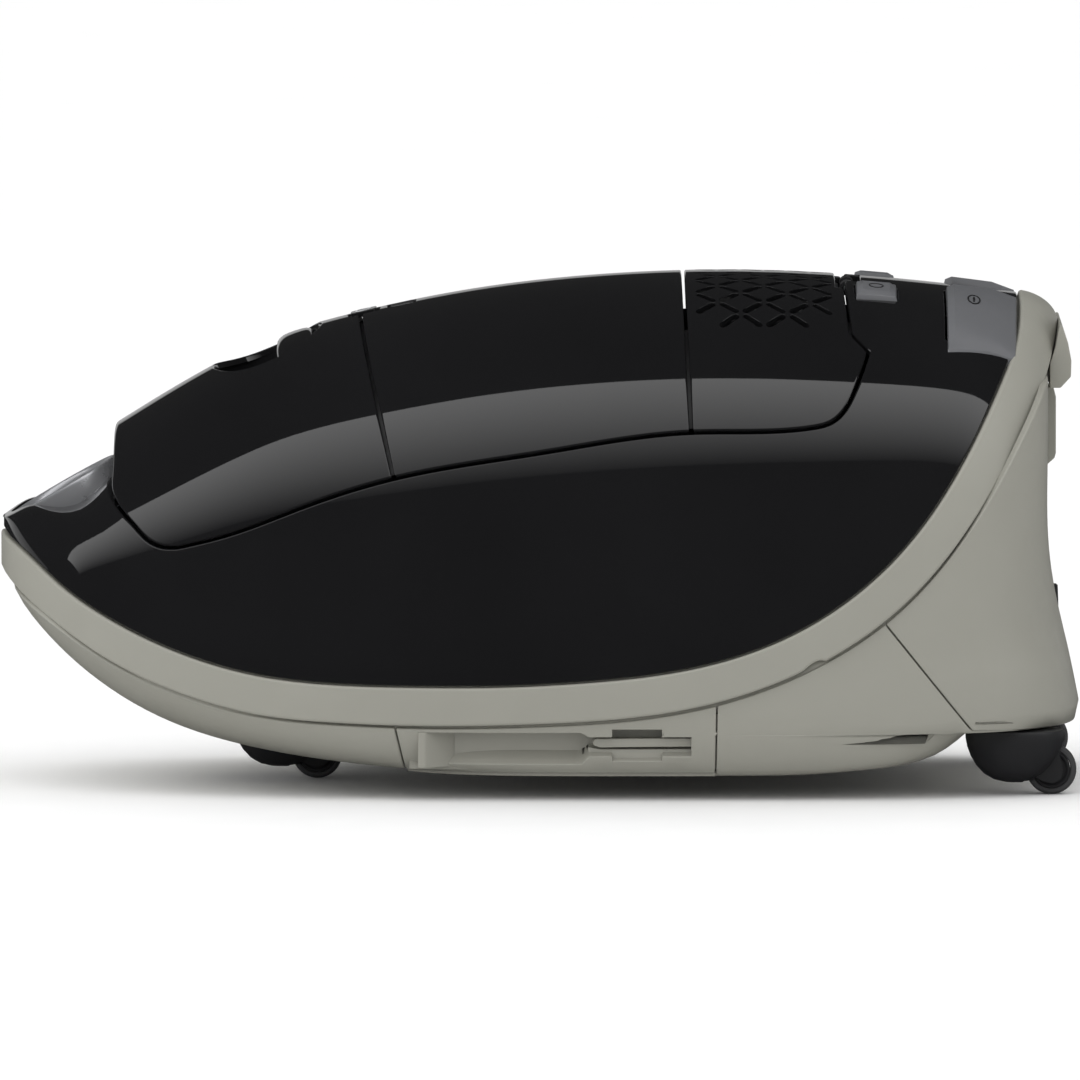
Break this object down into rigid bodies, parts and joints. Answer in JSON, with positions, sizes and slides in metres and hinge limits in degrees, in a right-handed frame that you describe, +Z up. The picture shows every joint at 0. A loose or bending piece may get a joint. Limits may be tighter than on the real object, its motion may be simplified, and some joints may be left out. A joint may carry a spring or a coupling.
{
  "type": "canister vacuum cleaner",
  "caption": "Low canister vacuum cleaner body with hinged dust lid, accessory flap, foot pedals, bumper band and swivel castors.",
  "frame": {"origin": "on the floor under the middle of the overall box", "axes": "+X from the hose end to the rear, +Y to the right-hand side seen from behind the hose end, +Z up"},
  "size_m": [0.5, 0.3, 0.2354],
  "materials": {
    "stone": "satin moulded plastic",
    "panel": "satin moulded plastic",
    "gloss": "high gloss",
    "black": "fine grain",
    "grey": "satin",
    "silver": "satin silver paint",
    "inner": "matt",
    "rubber": "matt",
    "tyre": "matt",
    "bag": "fleece",
    "filter": "pleated fleece",
    "steel": "ground",
    "copper": "enamelled winding",
    "board": "solder-masked board",
    "lens": "tinted window"
  },
  "bodies": {
    "body": {"base_pan": "stone", "rear_skirt": "stone", "bumper_band": "stone", "rear_grip_cap": "stone", "rear_parking_socket": "stone", "parking_panel_left": "panel", "parking_panel_right": "panel", "upper_housing": "gloss", "lid_hinge_bracket": "black", "lid_hinge_pin": "steel", "hose_port_ring": "silver", "hose_port_seal": "rubber", "intake_duct": "inner", "dust_chamber": "inner", "bag_holder": "grey", "dust_bag": "bag", "motor_filter": "filter", "motor_mount_front": "rubber", "motor_housing_front": "inner", "motor_housing_rear": "inner", "motor_mount_rear": "rubber", "motor_stator": "copper", "reel_bracket": "black", "reel_spring_case": "grey", "control_board": "board", "cord_outlet": "rubber"},
    "lid": {"lid_frame": "black", "lid_front_cover": "gloss", "exhaust_grille": "gloss", "lid_inner_plate": "inner", "lid_gasket": "rubber", "carry_handle": "gloss", "handle_cup": "black", "exhaust_filter": "filter", "accessory_tray": "inner", "crevice_nozzle": "black", "upholstery_nozzle": "black", "dusting_brush": "black"},
    "flap": {"accessory_flap": "gloss", "bag_indicator_lens": "lens"},
    "flap_button": {"flap_button": "gloss"},
    "lid_release": {"lid_release_lever": "grey"},
    "power_pedal": {"power_pedal": "grey"},
    "rewind_pedal": {"rewind_pedal": "grey"},
    "key_minus": {"power_key_minus": "gloss"},
    "key_plus": {"power_key_plus": "gloss"},
    "motor_rotor": {"motor_rotor": "steel", "fan_impeller": "steel"},
    "cord_drum": {"cord_drum": "inner"},
    "castor_left": {"castor_fork_left": "black"},
    "wheel_left": {"castor_wheel_left": "grey", "castor_tyre_left": "tyre"},
    "castor_right": {"castor_fork_right": "black"},
    "wheel_right": {"castor_wheel_right": "grey", "castor_tyre_right": "tyre"},
    "castor_front": {"castor_fork_front": "black"},
    "wheel_front": {"castor_wheel_front": "grey", "castor_tyre_front": "tyre"}
  },
  "joints": [
    {"name": "lid_hinge", "type": "hinge", "parent": "body", "child": "lid", "pos_m": [0.1422, 0, 0.229], "axis": [0, 1, 0], "range_deg": [0, 53]},
    {"name": "flap_hinge", "type": "hinge", "parent": "lid", "child": "flap", "pos_m": [0.062, 0, 0.2308], "axis": [0, 1, 0], "range_deg": [0, 80]},
    {"name": "flap_button_press", "type": "slide", "parent": "lid", "child": "flap_button", "axis": [0, 0, -1], "range_m": [0, 0.0015], "stiffness_N_per_m": 400, "springref_m": -0.001},
    {"name": "lid_release_squeeze", "type": "slide", "parent": "lid", "child": "lid_release", "axis": [0, 0, 1], "range_m": [0, 0.003], "stiffness_N_per_m": 400, "springref_m": -0.001},
    {"name": "power_pedal_press", "type": "slide", "parent": "body", "child": "power_pedal", "axis": [0, 0, -1], "range_m": [0, 0.003], "stiffness_N_per_m": 400, "springref_m": -0.001},
    {"name": "rewind_pedal_press", "type": "slide", "parent": "body", "child": "rewind_pedal", "axis": [0, 0, -1], "range_m": [0, 0.003], "stiffness_N_per_m": 400, "springref_m": -0.001},
    {"name": "key_minus_press", "type": "slide", "parent": "body", "child": "key_minus", "axis": [0, 0, -1], "range_m": [0, 0.0015], "stiffness_N_per_m": 400, "springref_m": -0.001},
    {"name": "key_plus_press", "type": "slide", "parent": "body", "child": "key_plus", "axis": [0, 0, -1], "range_m": [0, 0.0015], "stiffness_N_per_m": 400, "springref_m": -0.001},
    {"name": "motor_spin", "type": "hinge", "parent": "body", "child": "motor_rotor", "pos_m": [0.13, -0.03, 0.1], "axis": [1, 0, 0], "continuous": true},
    {"name": "reel_spin", "type": "hinge", "parent": "body", "child": "cord_drum", "pos_m": [0.15, 0.069, 0.097], "axis": [0, 1, 0], "continuous": true},
    {"name": "swivel_left", "type": "hinge", "parent": "body", "child": "castor_left", "pos_m": [0.219, -0.095, 0.03], "axis": [0, 0, 1], "continuous": true},
    {"name": "roll_left", "type": "hinge", "parent": "castor_left", "child": "wheel_left", "pos_m": [0.2356, -0.095, 0.0116], "axis": [0, 1, 0], "continuous": true},
    {"name": "swivel_right", "type": "hinge", "parent": "body", "child": "castor_right", "pos_m": [0.219, 0.095, 0.03], "axis": [0, 0, 1], "continuous": true},
    {"name": "roll_right", "type": "hinge", "parent": "castor_right", "child": "wheel_right", "pos_m": [0.2356, 0.095, 0.0116], "axis": [0, 1, 0], "continuous": true},
    {"name": "swivel_front", "type": "hinge", "parent": "body", "child": "castor_front", "pos_m": [-0.12, 0, 0.03], "axis": [0, 0, 1], "continuous": true},
    {"name": "roll_front", "type": "hinge", "parent": "castor_front", "child": "wheel_front", "pos_m": [-0.1034, 0, 0.0116], "axis": [0, 1, 0], "continuous": true}
  ]
}
